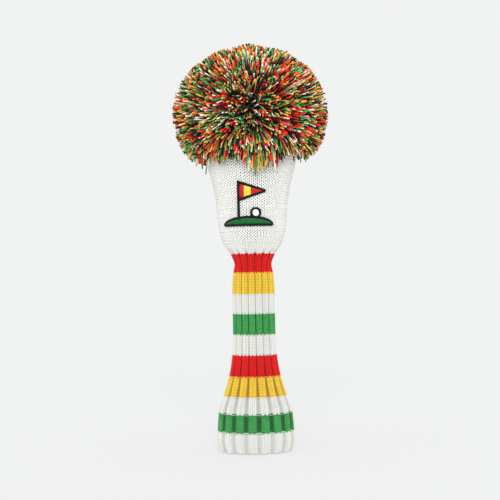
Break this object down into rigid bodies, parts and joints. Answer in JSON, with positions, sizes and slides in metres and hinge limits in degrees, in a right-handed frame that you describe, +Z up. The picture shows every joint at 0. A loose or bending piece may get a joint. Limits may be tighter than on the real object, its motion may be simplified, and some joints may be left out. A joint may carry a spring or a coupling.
{
  "type": "golf driver head cover",
  "caption": "Knitted golf driver head cover with a striped ribbed sleeve, lined white hood, embroidered flag motif and multicoloured pom-pom.",
  "frame": {"origin": "middle of the base of the bounding box, on the surface that the cuff stands on", "axes": "+Z up along the cover from cuff to pom-pom, -Y towards someone facing the embroidery, +X to their right"},
  "size_m": [0.16, 0.16, 0.412],
  "materials": {
    "knit_white": "matte",
    "knit_green": "matte",
    "knit_yellow": "matte",
    "knit_red": "matte",
    "sewing_thread": "matte",
    "elastic": "matte",
    "lining_fleece": "matte",
    "washer_plastic": "matte",
    "tie_yarn": "matte",
    "pom_red": "matte",
    "pom_gold": "matte",
    "pom_green": "matte",
    "pom_white": "matte",
    "pom_black": "matte",
    "backing_felt": "matte",
    "thread_red": "satin",
    "thread_yellow": "satin",
    "thread_green": "satin",
    "thread_white": "satin",
    "thread_black": "satin"
  },
  "bodies": {
    "sleeve": {"cuff_band_white": "knit_white", "rib_band_green_lower": "knit_green", "rib_band_white_lower": "knit_white", "rib_band_yellow_lower": "knit_yellow", "rib_band_red_lower": "knit_red", "rib_band_white_middle": "knit_white", "rib_band_green_upper": "knit_green", "rib_band_white_upper": "knit_white", "rib_band_yellow_upper": "knit_yellow", "rib_band_red_upper": "knit_red", "cuff_turned_hem": "knit_white", "cuff_linking_stitch": "sewing_thread"},
    "throat": {"throat_elastic": "elastic"},
    "hood": {"hood_knit": "knit_white", "hood_lining": "lining_fleece", "lining_tack_stitch": "sewing_thread", "embroidery_backing": "backing_felt", "embroidery_flag_red": "thread_red", "embroidery_flag_yellow": "thread_yellow", "embroidery_mound_green": "thread_green", "embroidery_ball_white": "thread_white", "embroidery_outline_black": "thread_black", "crown_gather_yarn": "knit_white", "anchor_washer": "washer_plastic"},
    "tie_knot": {"tie_knot": "tie_yarn"},
    "tie_cord": {"tie_cord": "tie_yarn"},
    "pom": {"pom_binding": "tie_yarn", "pom_core": "pom_white", "pom_yarn_red": "pom_red", "pom_yarn_gold": "pom_gold", "pom_yarn_green": "pom_green", "pom_yarn_white": "pom_white", "pom_yarn_black": "pom_black"}
  },
  "joints": [
    {"name": "throat_bend_fore_aft", "type": "hinge", "parent": "sleeve", "child": "throat", "pos_m": [0, 0, 0.1925], "axis": [1, 0, 0], "range_deg": [-25, 25], "stiffness_Nm_per_rad": 0.6},
    {"name": "throat_bend_side", "type": "hinge", "parent": "throat", "child": "hood", "pos_m": [0, 0, 0.1925], "axis": [0, 1, 0], "range_deg": [-25, 25], "stiffness_Nm_per_rad": 0.6},
    {"name": "pom_twist", "type": "hinge", "parent": "hood", "child": "tie_knot", "pos_m": [0, 0, 0.3292], "axis": [0, 0, 1], "range_deg": [-60, 60], "stiffness_Nm_per_rad": 0.01},
    {"name": "pom_nod", "type": "hinge", "parent": "tie_knot", "child": "tie_cord", "pos_m": [0, 0, 0.3292], "axis": [1, 0, 0], "range_deg": [-10, 10], "stiffness_Nm_per_rad": 0.08},
    {"name": "pom_sway", "type": "hinge", "parent": "tie_cord", "child": "pom", "pos_m": [0, 0, 0.3292], "axis": [0, 1, 0], "range_deg": [-10, 10], "stiffness_Nm_per_rad": 0.08}
  ]
}
